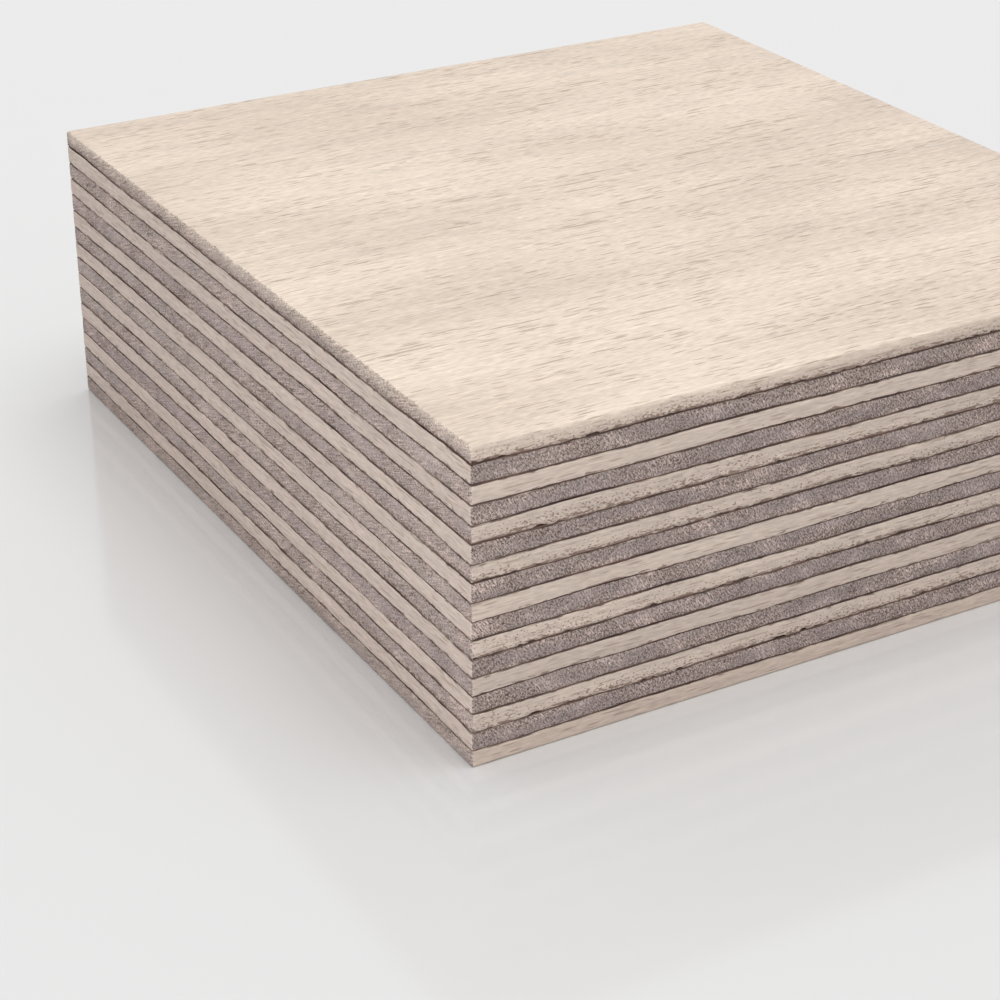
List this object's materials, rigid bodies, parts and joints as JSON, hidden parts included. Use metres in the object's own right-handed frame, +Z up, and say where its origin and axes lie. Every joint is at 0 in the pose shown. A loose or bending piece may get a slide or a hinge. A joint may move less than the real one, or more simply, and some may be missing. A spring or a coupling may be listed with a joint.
{
  "type": "plywood block",
  "caption": "Rectangular block sawn from a thick cross-banded hardwood plywood board, with bare layered edges and eased arrises, used as spacer, packing or raw stock.",
  "frame": {"origin": "middle of the underside, on the surface that the block lies on", "axes": "+X along the grain of the face veneer, +Y along the longer sawn side, +Z up through the thickness"},
  "size_m": [0.064, 0.069, 0.0236],
  "materials": {
    "face_veneer": "sanded bare",
    "long_ply": "sawn bare",
    "cross_ply": "sawn bare",
    "glue_line": "matte"
  },
  "bodies": {
    "root": {"face_veneer": "face_veneer", "cross_ply_02": "cross_ply", "long_ply_03": "long_ply", "cross_ply_04": "cross_ply", "long_ply_05": "long_ply", "cross_ply_06": "cross_ply", "long_ply_07": "long_ply", "cross_ply_08": "cross_ply", "long_ply_09": "long_ply", "cross_ply_10": "cross_ply", "long_ply_11": "long_ply", "cross_ply_12": "cross_ply", "long_ply_13": "long_ply", "cross_ply_14": "cross_ply", "long_ply_15": "long_ply", "cross_ply_16": "cross_ply", "back_veneer": "face_veneer", "glue_lines": "glue_line"}
  },
  "joints": []
}
